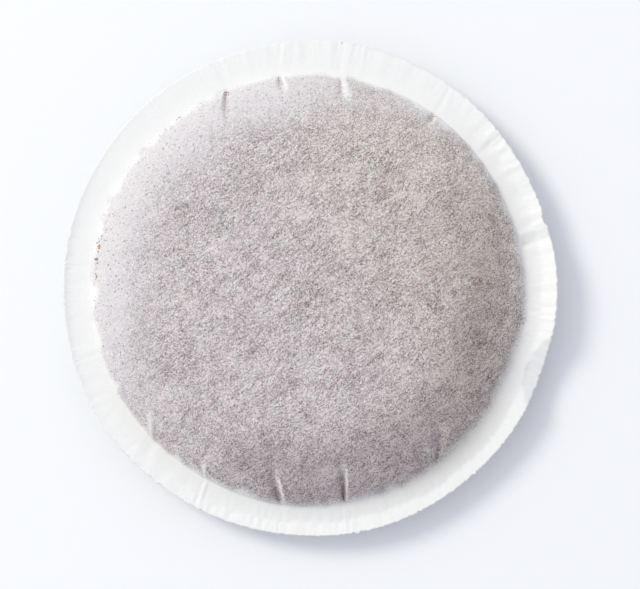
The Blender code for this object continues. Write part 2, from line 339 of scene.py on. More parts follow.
# darker tint where pressed: partly paper on the coffee, partly painted shade in the pleats and on the lower
# right
PRESS_AND_SHADE_TINT = (0.42, 0.36, 0.35, 1.0)
LILAC = ((0.590, 0.566, 0.602, 1.0), (0.925, 0.905, 0.930, 1.0))
LONE_SPECK = (0.330, 0.295, 0.310, 1.0)
WHITE = ((0.868, 0.872, 0.882, 1.0), (0.934, 0.938, 0.950, 1.0))
# tint of the rim beside the coffee: partly a coffee stain, partly painted shade from the crown
STAIN_AND_SHADE_TINT = (0.825, 0.808, 0.750, 1.0)

# Colours of the grounds by tone, and the white that veils the loose ones
GROUNDS_TONES = (
    (0.0, (0.030, 0.016, 0.010)),
    (0.45, (0.110, 0.052, 0.028)),
    (0.75, (0.300, 0.130, 0.050)),
    (1.0, (0.560, 0.240, 0.085)),
)
VEIL = (0.860, 0.850, 0.830, 1.0)

# Fineness of the sheets
SHEET_COLUMNS = 900
POCKET_RINGS = 29
RIM_RINGS = 22
RING_CROWDING = 1.75  # above 1 the pocket's rings crowd towards the crease
COLUMN_CROWDING = 2.5  # how much closer the columns lie at a pleat
CROWDED_WIDTH = 1.6  # degrees
CROWDED_SHIFT = 0.35  # share of a slanted pleat's reach at which they are closest
FINE_ANGLES = 14400

# Surroundings: sizes in metres
TABLE_SIZE = 3.0
DAYLIGHT = (1.0, 0.985, 0.850)
SKY_LIGHT = (0.920, 0.930, 1.0, 1.0)
SKY_STRENGTH = 0.705
SKY_SEEN = (0.915, 0.938, 0.975, 1.0)


def smooth_step(value):
    value = np.clip(value, 0.0, 1.0)
    return value * value * (3.0 - 2.0 * value)


def bell(value):
    return np.exp(-value * value)


def away_from(degrees, angle):
    """Signed turn from an angle, in degrees from -180 to 180."""
    return (degrees - angle + 180.0) % 360.0 - 180.0


def placed(degrees, place):
    """The amount of a place, which fades away from its angle."""
    return place.amount * bell(away_from(degrees, place.angle) / place.half_width)


def on_side(degrees, side):
    """1 on one side of the pad, fading to 0 at its reach."""
    return smooth_step((side.reach - np.abs(away_from(degrees, side.angle))) / side.fade)


def near_crease(inside, reach, fade):
    """1 near the crease, fading to 0 at a reach inwards from it."""
    return smooth_step((reach - inside) / fade)


def waves(degrees, table):
    return sum(height * np.cos(np.radians(count * degrees - phase)) for count, height, phase in table)


def rippled(degrees, ripple):
    """Random waves round the pad, which spread about their height to both sides."""
    rng = np.random.default_rng(ripple.seed)
    total = np.zeros_like(degrees)
    for count in range(ripple.fewest, ripple.most + 1):
        total += rng.normal() * np.cos(np.radians(count * degrees) + rng.uniform(0.0, math.tau))
    return ripple.height * (total / math.sqrt((ripple.most - ripple.fewest + 1) / 2.0))


def lumped(x, y, lumps, count=48):
    """Random bumps, which spread about their height to both sides."""
    rng = np.random.default_rng(lumps.seed)
    total = np.zeros_like(x)
    for _ in range(count):
        length = rng.uniform(lumps.shortest, lumps.longest)
        heading = rng.uniform(0.0, math.tau)
        phase = rng.uniform(0.0, math.tau)
        total += np.sin(math.tau / length * (x * math.cos(heading) + y * math.sin(heading)) + phase)
    return lumps.height * (total / math.sqrt(count / 2.0))


def plan(radius, degrees):
    """X and Y at a radius and an angle."""
    turn = np.radians(degrees)
    return radius * np.cos(turn), radius * np.sin(turn)


def crease_radius(degrees):
    shift = POCKET_SHIFT * np.cos(np.radians(degrees - POCKET_SHIFT_ANGLE))
    return POCKET_RADIUS + shift + waves(degrees, CREASE_WAVES)


def edge_radius(degrees, teeth):
    """Radius of the cut edge, with its teeth."""
    swells = sum(placed(degrees, place) for place in EDGE_SWELLS)
    return POCKET_RADIUS + RIM_WIDTH + waves(degrees, EDGE_WAVES) + swells + rippled(degrees, teeth)


def beside_pleat(degrees, inside, pleat):
    """Distance sideways from the line of a pleat, above 0 counterclockwise. The line slants inwards."""
    return POCKET_RADIUS * np.radians(away_from(degrees, pleat.angle)) - pleat.slant * np.maximum(inside, 0.0)


def pleat_valley(degrees, inside, pleat):
    """Depth of a pleat, 0 to 1: a groove that is sharp at the crease and opens and fades inwards."""
    across = beside_pleat(degrees, inside, pleat)
    opened = np.clip(inside / (VALLEY_OPENING * pleat.reach), 0.0, 1.0)
    opening = pleat.half_width * (VALLEY_WIDTH + VALLEY_GAIN * opened)
    return bell(across / opening) * smooth_step(1.0 - inside / pleat.reach)


def pleat_flap(degrees, inside, pleat):
    """Height of the flap of paper that stands up beside a pleat, 0 to 1."""
    across = beside_pleat(degrees, inside, pleat) * pleat.side
    opened = np.clip(inside / (FLAP_OPENING * pleat.reach), 0.0, 1.0)
    breadth = pleat.leaf * (FLAP_WIDTH + FLAP_GAIN * opened)
    place = 1.1 * pleat.half_width + 0.85 * breadth
    section = np.exp(-np.abs((across - place) / breadth) ** FLAP_SQUARENESS)
    return section * smooth_step((FLAP_END - inside / pleat.reach) / FLAP_FADE)


def inside_crease(ring, degrees):
    return (1.0 - ring) * crease_radius(degrees)


def crease_lift(distance, degrees):
    """Rise of the paper at a distance from the lifted crease."""
    return CREASE_LIFT * on_side(degrees, LIFTED_SIDE) * np.exp(-distance / CREASE_LIFT_REACH)


def crown(ring, degrees):
    """Rise of the upper paper above the rim, inside the crease."""
    ring = np.minimum(ring, 1.0)
    inside = inside_crease(ring, degrees)
    rise = CROWN_HEIGHT * (1.0 - ring**CROWN_SQUARENESS) ** CROWN_SHOULDER
    slid = CROWN_SLUMP * ring * (1.0 - ring * ring) * np.cos(np.radians(degrees - CROWN_SLUMP_ANGLE))
    rise = rise * (1.0 + slid)
    for pleat in PLEATS:
        rise = rise * (1.0 - pleat.pinch * pleat_valley(degrees, inside, pleat))
        flap = pleat_flap(degrees, inside, pleat) * smooth_step(inside / FLAP_START)
        rise = rise + pleat.flap * FLAP_HEIGHT * flap
    x, y = plan(crease_radius(degrees) * ring, degrees)
    bumps = sum(lumped(x, y, lumps) for lumps in CROWN_LUMPS) * smooth_step(inside / LUMPS_FADE)
    return rise + bumps + crease_lift(inside, degrees)


def belly(ring, degrees):
    """Rise of the lower paper above the rim, inside the crease: negative, and deepest over the whole foot."""
    ring = np.minimum(ring, 1.0)
    inside = inside_crease(ring, degrees)
    wall = np.clip((ring - FOOT_RING) / (1.0 - FOOT_RING), 0.0, 1.0)
    depth = RIM_HEIGHT - SEAL_GAP / 2.0 - PAPER_THICKNESS
    drop = depth * (1.0 - wall**BELLY_SQUARENESS) ** BELLY_SHOULDER
    for pleat in PLEATS:
        drop = drop * (1.0 - BELLY_PINCH * pleat.pinch * pleat_valley(degrees, inside, pleat))
    x, y = plan(crease_radius(degrees) * ring, degrees)
    off_foot = smooth_step((wall - BELLY_LUMPS_START) / BELLY_LUMPS_RISE)
    bumps = lumped(x, y, BELLY_LUMPS) * smooth_step(inside / LUMPS_FADE) * off_foot
    return -drop + bumps + crease_lift(inside, degrees) * smooth_step(wall / 0.5)


def corner_drop(across, degrees):
    """How far the folded corner of the rim hangs down: across is 0 at the crease and 1 at the cut edge."""
    spread = np.abs(away_from(degrees, CORNER_ANGLE)) / CORNER_HALF_WIDTH
    fold = CORNER_TIP + (CORNER_ENDS - CORNER_TIP) * spread**CORNER_BOW + rippled(degrees, CORNER_WANDER)
    beyond = across - fold
    rounded = np.sqrt(beyond * beyond + CORNER_SOFTNESS**2)
    hinge = 0.5 * (beyond + rounded) - 0.25 * CORNER_SOFTNESS
    return CORNER_SLOPE * RIM_WIDTH * np.clip(hinge, 0.0, None)


def gutter(across, degrees):
    """Depth of the gutter: a valley with a rounded bottom between the crease and the cut edge."""
    place = GUTTER_PLACE + sum(rippled(degrees, wander) for wander in GUTTER_WANDER)
    inner, outer = across / place, (1.0 - across) / (1.0 - place)
    rounded = np.sqrt((inner - outer) ** 2 + GUTTER_SOFTNESS)
    valley = 0.5 * (inner + outer - rounded) + 0.5 * (math.sqrt(1.0 + GUTTER_SOFTNESS) - 1.0)
    return GUTTER_DEPTH * on_side(degrees, GUTTER_SIDE) * valley


def pleat_fold(across, degrees, pleat):
    """Depth of a pleat's fold over the rim, with a low ridge on both sides."""
    drift = -FOLD_DRIFT * pleat.slant * RIM_WIDTH * across
    sideways = (POCKET_RADIUS * np.radians(away_from(degrees, pleat.angle)) - drift) / pleat.rim_width
    ridges = FOLD_RIDGE * bell((np.abs(sideways) - FOLD_RIDGE_PLACE) / FOLD_RIDGE_WIDTH)
    fold = bell(sideways) - ridges
    return pleat.rim_fold * fold * smooth_step(across / FOLD_START) * (1.0 - FOLD_FADE * across)


def rim_step(across, degrees):
    """Depth of the one broad step across the rim."""
    clockwise = -POCKET_RADIUS * np.radians(away_from(degrees, STEP_ANGLE)) + STEP_LEAN * across
    start, end = STEP_RUN
    slope = np.clip((clockwise - start) / (end - start), 0.0, 1.0)
    rise = smooth_step((end + STEP_RISE - clockwise) / STEP_RISE)
    return STEP_DEPTH * slope * rise * smooth_step(across / STEP_START)


def crinkled(across, degrees):
    """Rise of the fine radial crinkles near the cut edge and of the slow waves over the whole rim."""
    skew = degrees + across * rippled(degrees, CRINKLE_SKEW)
    where = CRINKLED_EVERYWHERE + sum(placed(degrees, place) for place in CRINKLED_PLACES)
    where = where * (1.0 - placed(degrees, SMOOTH_PLACE))
    rise = sum(
        rippled(skew, ripple) * smooth_step((across - start) / (full - start))
        for ripple, start, full in CRINKLES
    )
    return where * rise


def rim_rise(across, degrees):
    """Rise of the rim above its seal: across is 0 at the crease and 1 at the cut edge."""
    across = np.clip(across, 0.0, 1.0)
    rise = crease_lift(across * RIM_WIDTH, degrees) - gutter(across, degrees)
    for lift in EDGE_LIFTS:
        rise = rise + lift.height * bell(away_from(degrees, lift.angle) / lift.half_width) * across**lift.curl
    for pleat in PLEATS:
        rise = rise - pleat_fold(across, degrees, pleat)
    return rise - rim_step(across, degrees) - corner_drop(across, degrees) + crinkled(across, degrees)


def crowded_columns():
    """Angles of the sheets' columns, closer together at the pleats."""
    fine = np.linspace(0.0, 360.0, FINE_ANGLES, endpoint=False)
    density = np.ones_like(fine)
    for pleat in PLEATS:
        shift = math.degrees(CROWDED_SHIFT * pleat.slant * pleat.reach / POCKET_RADIUS)
        width = CROWDED_WIDTH + abs(shift)
        density += COLUMN_CROWDING * bell(away_from(fine, pleat.angle + shift) / width)
    reached = np.cumsum(density) / np.sum(density)
    return np.interp((np.arange(SHEET_COLUMNS) + 0.5) / SHEET_COLUMNS, reached, fine)


def sheet_rings():
    """Rings of a sheet, without its middle point."""
    pocket = 1.0 - (1.0 - np.arange(1, POCKET_RINGS + 1) / POCKET_RINGS) ** RING_CROWDING
    rim = 1.0 + np.arange(1, RIM_RINGS + 1) / RIM_RINGS
    return np.concatenate([pocket, rim])


def fan_faces(middle, first, columns, turned):
    """Triangles from a middle point to a ring of points. Turned ones run clockwise."""
    ahead = (np.arange(columns) + 1) % columns
    if turned:
        return [(middle, first + ahead[j], first + j) for j in range(columns)]
    return [(middle, first + j, first + ahead[j]) for j in range(columns)]


def band_faces(rows, columns):
    """Quads between neighbouring rings of points, the first of which starts at point 1."""
    ahead = (np.arange(columns) + 1) % columns
    row, column = np.meshgrid(np.arange(rows - 1), np.arange(columns), indexing="ij")
    corner = 1 + row * columns
    here, next_column = corner + column, corner + ahead[column]
    quads = np.stack([here, here + columns, next_column + columns, next_column], axis=-1)
    return quads.reshape(-1, 4).tolist()


def smooth_mesh(name, points, faces):
    mesh = bpy.data.meshes.new(name)
    mesh.from_pydata(points.tolist(), [], faces)
    mesh.shade_smooth()
    return mesh


def ringed_mesh(name, rings, middle, outside_up, attributes):
    """A disc of rings of points round a middle point, with each attribute's value at each point."""
    count, columns, _ = rings.shape
    points = np.concatenate([[middle], rings.reshape(-1, 3)])
    mesh = smooth_mesh(name, points, fan_faces(0, 1, columns, False) + band_faces(count, columns))
    for label, values in attributes.items():
        attribute = mesh.attributes.new(label, "FLOAT", "POINT")
        attribute.data.foreach_set("value", np.concatenate([[values[0].mean()], values.ravel()]))
    if not outside_up:
        mesh.flip_normals()
    return mesh


def closed_mesh(name, rings, top, bottom):
    """A closed solid of rings of points, from a middle point on top to another below."""
    count, columns, _ = rings.shape
    points = np.concatenate([[top], rings.reshape(-1, 3), [bottom]])
    last_ring = 1 + (count - 1) * columns
    faces = fan_faces(0, 1, columns, False) + band_faces(count, columns)
    return smooth_mesh(name, points, faces + fan_faces(len(points) - 1, last_ring, columns, True))


def new_piece(mesh, *materials):
    piece = bpy.data.objects.new(mesh.name, mesh)
    bpy.context.scene.collection.objects.link(piece)
    for material in materials:
        mesh.materials.append(material)
    return piece


def coffee_cover(ring, degrees):
    """How far coffee lies right under the upper paper, 0 to 1. It ends in lumps and bays near the crease.

    On the shaded side it reaches further on to the rim, partly as painted shade.
    """
    inside = (1.0 - ring) * np.where(ring > 1.0, RIM_WIDTH, crease_radius(degrees))
    shaded = on_side(degrees, SHADED_SIDE)
    bays = smooth_step((rippled(degrees, BAYS) - BAYS_LEVEL) / BAYS_SOFTNESS)
    bays = placed(degrees, BAYS_PLACE) * bays * (1.0 - placed(degrees, BAYS_GAP))
    back = sum(placed(degrees, place) for place in COFFEE_BACK)
    wander = rippled(degrees, COFFEE_WANDER) - bays - back
    overlap = np.interp(shaded, (0.0, 1.0), COFFEE_AND_SHADE_OVERLAP)
    edge = smooth_step((inside + wander + overlap) / np.interp(shaded, (0.0, 1.0), COFFEE_AND_SHADE_FADE))
    cover = np.ones_like(edge)
    for pleat in PLEATS:
        hidden = FLAP_CLEARING * np.minimum(pleat.flap, 1.0)
        cover = cover * (1.0 - hidden * pleat_flap(degrees, inside, pleat))
        cover = np.maximum(cover, pleat.press * pleat_valley(degrees, inside, pleat))
    return cover * edge


def coffee_loose(ring, degrees):
    """How loosely the coffee lies under the upper paper, 0 to 1."""
    inside = inside_crease(np.minimum(ring, 1.0), degrees)
    deep = LOOSE_REACH + placed(degrees, LOOSE_DEEPER) + rippled(degrees, LOOSE_WANDER)
    loose = on_side(degrees, LOOSE_SIDE) * near_crease(inside, deep, LOOSE_FADE * deep)
    loose = np.maximum(loose, placed(degrees, BROW) * near_crease(inside, BROW_REACH, BROW_FADE))
    for pleat in PLEATS:
        loose = loose * (1.0 - pleat.press * pleat_valley(degrees, inside, pleat))
    return loose


def press_and_painted_shade(ring, degrees):
    """How much darker the paper over the coffee shows, 0 to 1. In the pleats' folds it is partly paper
    pressed on to the coffee and partly painted shade; on the lower right, away from the light, it is painted
    shade.
    """
    inside = inside_crease(np.minimum(ring, 1.0), degrees)
    eased = placed(degrees, EASED) * near_crease(inside, EASED_REACH, EASED_FADE)
    # painted shade on the lower right, away from the light
    side_shade = on_side(degrees, SHADE_PAINTED_SIDE) * near_crease(inside, SHADE_PAINTED_REACH, SHADE_PAINTED_FADE)
    press = SHADE_PAINTED_DEPTH * side_shade * (1.0 - eased)
    for pleat in PLEATS:
        press = np.maximum(press, pleat.press * pleat_valley(degrees, inside, pleat))
    return np.where(ring > 1.0, 0.0, press)


def stain_and_shade(across, degrees):
    """Grey tint of the rim beside the coffee, 0 to 1, deepest at the lower right: partly a coffee stain and
    partly painted shade where the crown shades the rim.
    """
    side = sum(placed(degrees, place) for place in RIM_STAINS_AND_SHADE)
    return np.minimum(side, 1.0) * smooth_step((STAIN_AND_SHADE_REACH - across) / STAIN_AND_SHADE_FADE)


def filter_sheet(name, pocket_rise, outer_level, outside_up, teeth, material):
    """One disc of filter paper, drawn by its outer face and thickened inwards."""
    ring, degrees = np.meshgrid(sheet_rings(), crowded_columns(), indexing="ij")
    crease = crease_radius(degrees)
    across = np.clip(ring - 1.0, 0.0, 1.0)
    on_rim = crease + (edge_radius(degrees, teeth) - crease) * across
    radius = np.where(ring <= 1.0, crease * ring, on_rim)
    rise = np.where(ring <= 1.0, pocket_rise(ring, degrees), rim_rise(across, degrees))
    x, y = plan(radius, degrees)
    z = outer_level + rise
    middle = (0.0, 0.0, float(z[0].mean()))
    values = {
        "coffee_cover": coffee_cover(ring, degrees),
        "coffee_loose": coffee_loose(ring, degrees),
        "press_and_painted_shade": press_and_painted_shade(ring, degrees),
        "rim_across": across,
        "stain_and_shade": stain_and_shade(across, degrees),
    }
    mesh = ringed_mesh(name, np.stack([x, y, z], axis=-1), middle, outside_up, values)
    sheet = new_piece(mesh, material)
    paper = sheet.modifiers.new("paper", "SOLIDIFY")
    paper.thickness = PAPER_THICKNESS
    paper.offset = -1.0
    return sheet


def coffee_bed_mesh():
    """The bed of grounds: a closed lumpy solid that follows both papers, a little way off them."""
    degrees = (np.arange(BED_COLUMNS) + 0.5) * 360.0 / BED_COLUMNS
    last_ring = 1.0 - COFFEE_MARGIN / POCKET_RADIUS
    share = 1.0 - (1.0 - np.arange(1, BED_RINGS + 1) / BED_RINGS) ** BED_CROWDING
    ring, around = np.meshgrid(last_ring * share, degrees, indexing="ij")
    x, y = plan(crease_radius(around) * ring, around)
    outermost = (ring / last_ring - BED_ROUNDING_START) / (1.0 - BED_ROUNDING_START)
    rounding = BED_ROUNDING * smooth_step(outermost)
    lump = lumped(x, y, BED_LUMPS)
    top = UPPER_INNER + crown(ring, around) - BED_CLEARANCE - rounding + lump
    bottom = LOWER_INNER + belly(ring, around) + BED_CLEARANCE + rounding - lump
    side_x, side_y = plan(crease_radius(degrees) * last_ring + BED_WAIST, degrees)
    waist = np.stack([side_x, side_y, 0.5 * (top[-1] + bottom[-1])], axis=-1)
    upper, lower = np.stack([x, y, top], axis=-1), np.stack([x, y, bottom], axis=-1)
    rings = np.concatenate([upper, waist[None], lower[::-1]])
    return closed_mesh("coffee_bed_core", rings, (0.0, 0.0, top[0].mean()), (0.0, 0.0, bottom[0].mean()))


def grain_tree(name, over_faces):
    """Nodes that put a turned, stretched grain on each point of a mesh, or on points over its faces."""
    tree = bpy.data.node_groups.new(name, "GeometryNodeTree")
    sockets = {}
    asked = (
        ("Geometry", "NodeSocketGeometry", None),
        ("Grains per square metre", "NodeSocketFloat", 0.0),
        ("Smallest", "NodeSocketFloat", GRAIN_SIZES[0]),
        ("Largest", "NodeSocketFloat", GRAIN_SIZES[1]),
        ("Seed", "NodeSocketInt", 0),
        ("Material", "NodeSocketMaterial", None),
    )
    for label, kind, start in asked:
        socket = tree.interface.new_socket(label, in_out="INPUT", socket_type=kind)
        if start is not None:
            socket.default_value = start
        sockets[label] = socket.identifier
    tree.interface.new_socket("Geometry", in_out="OUTPUT", socket_type="NodeSocketGeometry")
    given = tree.nodes.new("NodeGroupInput").outputs
    geometry, seed = given["Geometry"], given["Seed"]
    if over_faces:
        spread = {"Mesh": geometry, "Density": given["Grains per square metre"], "Seed": seed}
        points = add_node(tree, "GeometryNodeDistributePointsOnFaces", spread).outputs["Points"]
        size = random_value(tree, "FLOAT", given["Smallest"], given["Largest"], seed, 1)
        tone = random_value(tree, "FLOAT", 0.0, 1.0, seed, 2)
    else:
        points = geometry
        size = named_attribute(tree, "size")
        tone = named_attribute(tree, "tone")
    turn = random_value(tree, "FLOAT_VECTOR", (0.0, 0.0, 0.0), (math.tau, math.tau, math.tau), seed, 3)
    stretch = random_value(tree, "FLOAT_VECTOR", *GRAIN_STRETCH, seed, 4)
    scale = add_node(tree, "ShaderNodeVectorMath", {0: stretch, 3: size}, operation="SCALE").outputs[0]
    grain = add_node(tree, "GeometryNodeMeshIcoSphere", {"Radius": 1.0, "Subdivisions": 1}).outputs["Mesh"]
    laid = {"Points": points, "Instance": grain, "Rotation": turn, "Scale": scale}
    grains = add_node(tree, "GeometryNodeInstanceOnPoints", laid).outputs[0]
    toned = add_node(tree, "GeometryNodeStoreNamedAttribute",
                     {"Geometry": grains, "Name": "grain_tone", "Value": tone},
                     data_type="FLOAT", domain="INSTANCE").outputs[0]
    if over_faces:
        joined = add_node(tree, "GeometryNodeJoinGeometry")
        tree.links.new(toned, joined.inputs[0])
        tree.links.new(geometry, joined.inputs[0])
        toned = joined.outputs[0]
    whole = add_node(tree, "GeometryNodeRealizeInstances", {"Geometry": toned}).outputs[0]
    finished = add_node(tree, "GeometryNodeSetMaterial", {"Geometry": whole, "Material": given["Material"]})
    add_node(tree, "NodeGroupOutput", {"Geometry": finished.outputs[0]})
    return tree, sockets


def named_attribute(tree, label):
    return add_node(tree, "GeometryNodeInputNamedAttribute", {"Name": label}, data_type="FLOAT").outputs[0]


def random_value(tree, kind, low, high, seed, number):
    """A random value of each point or grain, a number or a vector."""
    node = add_node(tree, "FunctionNodeRandomValue", data_type=kind)
    low_place, high_place, output = {"FLOAT": (2, 3, 1), "FLOAT_VECTOR": (0, 1, 0)}[kind]
    for place, value in ((low_place, low), (high_place, high)):
        if isinstance(value, bpy.types.NodeSocket):
            tree.links.new(value, node.inputs[place])
        else:
            node.inputs[place].default_value = value
    tree.links.new(calculate(tree, "MULTIPLY_ADD", seed, 10.0, float(number)), node.inputs["Seed"])
    return node.outputs[output]


def grown_mesh(name, mesh, tree, sockets, values):
    """The plain mesh that a tree of Geometry Nodes makes out of a mesh."""
    holder = bpy.data.objects.new(name, mesh)
    bpy.context.scene.collection.objects.link(holder)
    growth = holder.modifiers.new("growth", "NODES")
    growth.node_group = tree
    for label, value in values.items():
        growth[sockets[label]] = value
    grown = bpy.data.meshes.new_from_object(holder.evaluated_get(bpy.context.evaluated_depsgraph_get()))
    grown.name = name
    bpy.data.objects.remove(holder)
    return grown


def dress_coffee():
    """The bed of grounds under the papers, and the few loose grounds that show at the crease."""
    material = coffee_grounds()
    tree, sockets = grain_tree("spread_grounds", True)
    values = {
        "Grains per square metre": GRAINS_PER_MM2 / MM**2,
        "Smallest": GRAIN_SIZES[0],
        "Largest": GRAIN_SIZES[1],
        "Seed": 7,
        "Material": material,
    }
    bed = new_piece(grown_mesh("ground_coffee_bed", coffee_bed_mesh(), tree, sockets, values))
    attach(bed, "root")
    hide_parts("coffee_bed")

    tree, sockets = grain_tree("loose_grounds", False)
    values = {"Seed": 9, "Material": material}
    loose = new_piece(grown_mesh("loose_grounds", loose_grain_points(), tree, sockets, values))
    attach(loose, "root")


def loose_grain_points():
    """A point on the upper paper for each loose grain, with its size, its tone and how far it is veiled."""
    rng = np.random.default_rng(71)
    places, sizes, tones, veils = [], [], [], []
    for row in LOOSE_ROWS:
        degrees = row.angle + row.spread * rng.uniform(-1.0, 1.0, row.count)
        inside = row.inside + row.breadth * rng.uniform(-1.0, 1.0, row.count)
        size = row.smallest + (row.largest - row.smallest) * rng.uniform(0.0, 1.0, row.count) ** 2
        crease = crease_radius(degrees)
        ring = 1.0 - inside / crease
        rise = np.where(inside > 0.0, crown(ring, degrees), rim_rise(-inside / RIM_WIDTH, degrees))
        x, y = plan(crease - inside, degrees)
        places += list(zip(x, y, UPPER_OUTER + rise + LOOSE_GRAIN_RISE * size))
        sizes += list(size)
        tones += list(rng.uniform(row.dark, row.light, row.count))
        veils += [row.veil] * row.count
    mesh = bpy.data.meshes.new("loose_places")
    mesh.from_pydata([tuple(map(float, place)) for place in places], [], [])
    for label, values in (("size", sizes), ("tone", tones), ("grain_veil", veils)):
        attribute = mesh.attributes.new(label, "FLOAT", "POINT")
        attribute.data.foreach_set("value", np.array(values, dtype=np.float32))
    return mesh


def add_node(tree, kind, inputs=None, **settings):
    """A node with its inputs, by name or number, set to values or linked from sockets."""
    node = tree.nodes.new(kind)
    for key, value in settings.items():
        setattr(node, key, value)
    for key, value in (inputs or {}).items():
        if isinstance(value, bpy.types.NodeSocket):
            tree.links.new(value, node.inputs[key])
        else:
            node.inputs[key].default_value = value
    return node


def calculate(tree, operation, first, second=0.0, third=0.0):
    return add_node(tree, "ShaderNodeMath", {0: first, 1: second, 2: third}, operation=operation).outputs[0]


def stepped(tree, value, low, high, to_low=0.0, to_high=1.0):
    """A smooth step of a value from low to high."""
    inputs = {"Value": value, "From Min": low, "From Max": high, "To Min": to_low, "To Max": to_high}
    return add_node(tree, "ShaderNodeMapRange", inputs, interpolation_type="SMOOTHSTEP").outputs["Result"]


def mixed(tree, share, first, second, blend="MIX"):
    """Two colours, each a value or a socket, mixed by a share."""
    node = add_node(tree, "ShaderNodeMix", data_type="RGBA", blend_type=blend, clamp_result=False)
    for place, value in ((0, share), (6, first), (7, second)):
        if isinstance(value, bpy.types.NodeSocket):
            tree.links.new(value, node.inputs[place])
        else:
            node.inputs[place].default_value = value
    return node.outputs[2]


def added(tree, tone, layer, strength):
    """A tone, moved up and down by a layer that lies about 0.5."""
    return calculate(tree, "MULTIPLY_ADD", calculate(tree, "SUBTRACT", layer, 0.5), strength, tone)


def noise(tree, place, size, detail=0.0, roughness=0.5):
    """Smooth noise about 0.5, whose features are of a size in millimetres."""
    inputs = {"Vector": place, "Scale": 1.0 / size, "Detail": detail, "Roughness": roughness}
    return add_node(tree, "ShaderNodeTexNoise", inputs).outputs[0]


def chance_cells(tree, place, size):
    """Small cells, each of its own chance value from 0 to 1, of a size in millimetres."""
    return add_node(tree, "ShaderNodeTexVoronoi", {"Vector": place, "Scale": 1.0 / size}).outputs["Color"]


def fibres(tree, place, strand):
    """Noise drawn out along the strand's heading, so that it looks like fibres."""
    turn = {"Vector": place, "Angle": -math.radians(strand.heading)}
    turned = add_node(tree, "ShaderNodeVectorRotate", turn, rotation_type="Z_AXIS").outputs[0]
    along, across = 1.0 / strand.length, 1.0 / strand.thickness
    shift = (strand.shift, 2.0 * strand.shift, 0.5 * strand.shift)
    drawn = add_node(tree, "ShaderNodeVectorMath", {0: turned, 1: (along, across, across), 2: shift},
                     operation="MULTIPLY_ADD").outputs[0]
    return add_node(tree, "ShaderNodeTexNoise", {"Vector": drawn, "Scale": 1.0, "Detail": 0.0}).outputs[0]


def attribute_value(tree, label):
    return add_node(tree, "ShaderNodeAttribute", attribute_name=label).outputs["Fac"]


def ramp_colour(tree, value, stops):
    """The colour of a value on a ramp of positions and colours."""
    ramp = add_node(tree, "ShaderNodeValToRGB", {"Fac": value})
    elements = ramp.color_ramp.elements
    elements[0].position, elements[1].position = stops[0][0], stops[-1][0]
    for position, _ in stops[1:-1]:
        elements.new(position)
    for element, (_, colour) in zip(elements, stops):
        element.color = (*colour, 1.0)
    return ramp.outputs[0]


def new_material(name, roughness, gloss=0.5):
    material = bpy.data.materials.new(name)
    material.use_nodes = True
    shader = material.node_tree.nodes["Principled BSDF"]
    shader.inputs["Roughness"].default_value = roughness
    shader.inputs["Specular IOR Level"].default_value = gloss
    return material, material.node_tree, shader


def millimetres(tree):
    """The piece's own coordinates in millimetres."""
    place = add_node(tree, "ShaderNodeTexCoord").outputs["Object"]
    return add_node(tree, "ShaderNodeVectorMath", {0: place, 3: 1000.0}, operation="SCALE").outputs[0]


def bent_place(tree, place):
    """The place, pushed about a little, so that long fibres bend."""
    bend = add_node(tree, "ShaderNodeTexNoise", {"Vector": place, "Scale": 0.35, "Detail": 1.0}).outputs[1]
    pushed = {0: bend, 1: (1.6, 1.6, 1.6), 2: place}
    return add_node(tree, "ShaderNodeVectorMath", pushed, operation="MULTIPLY_ADD").outputs[0]


def crossed_fibres(tree, bent):
    """The fleece of long fibres at several headings: 0 between them, and near 1 where they cross."""
    strands = [
        stepped(tree, fibres(tree, bent, strand), 0.46, 0.68, 0.0, strand.strength)
        for strand in STRANDS
    ]
    fleece = strands[0]
    for strand in strands[1:]:
        fleece = calculate(tree, "ADD", fleece, strand)
    return fleece


def paper_over_coffee(tree, place, bent, fleece, salt, clump):
    """Colour where coffee lies against the paper: grey, with dark specks and pale fibres."""
    pepper = stepped(tree, chance_cells(tree, place, PEPPER_SIZE), 0.84, 1.0)
    tone = calculate(tree, "MULTIPLY_ADD", fleece, FLEECE_STRENGTH, TONE_BASE)
    tone = added(tree, tone, salt, SALT_STRENGTH)
    tone = calculate(tree, "MULTIPLY_ADD", pepper, -PEPPER_STRENGTH, tone)
    tone = added(tree, tone, noise(tree, place, SPECK_SIZE), SPECK_STRENGTH)
    tone = added(tree, tone, fibres(tree, bent, BRUSH), BRUSH.strength)
    tone = added(tree, tone, fibres(tree, bent, WISP), WISP.strength)
    tone = added(tree, tone, clump, CLUMP_STRENGTH)
    tone = added(tree, tone, noise(tree, place, PATCH_SIZE, 2.0), PATCH_STRENGTH)
    colour = ramp_colour(tree, tone, COFFEE_TONES)

    hue = fibres(tree, bent, HUE)
    colour = mixed(tree, stepped(tree, hue, 0.50, 0.68), colour, ROSY_TINT, "MULTIPLY")
    colour = mixed(tree, stepped(tree, hue, 0.50, 0.32), colour, OLIVE_TINT, "MULTIPLY")
    heading = (math.cos(math.radians(BROWN_HEADING)), math.sin(math.radians(BROWN_HEADING)), 0.0)
    side = add_node(tree, "ShaderNodeVectorMath", {0: place, 1: heading}, operation="DOT_PRODUCT")
    brown = stepped(tree, side.outputs["Value"], -8.0, 28.0)
    colour = mixed(tree, brown, colour, BROWN_TINT, "MULTIPLY")
    # darkened where pressed: partly paper on the coffee, partly painted shade in the pleats and on the lower
    # right
    pressed_and_shaded = calculate(tree, "MULTIPLY", attribute_value(tree, "press_and_painted_shade"), 0.9)
    return mixed(tree, pressed_and_shaded, colour, PRESS_AND_SHADE_TINT, "MULTIPLY")


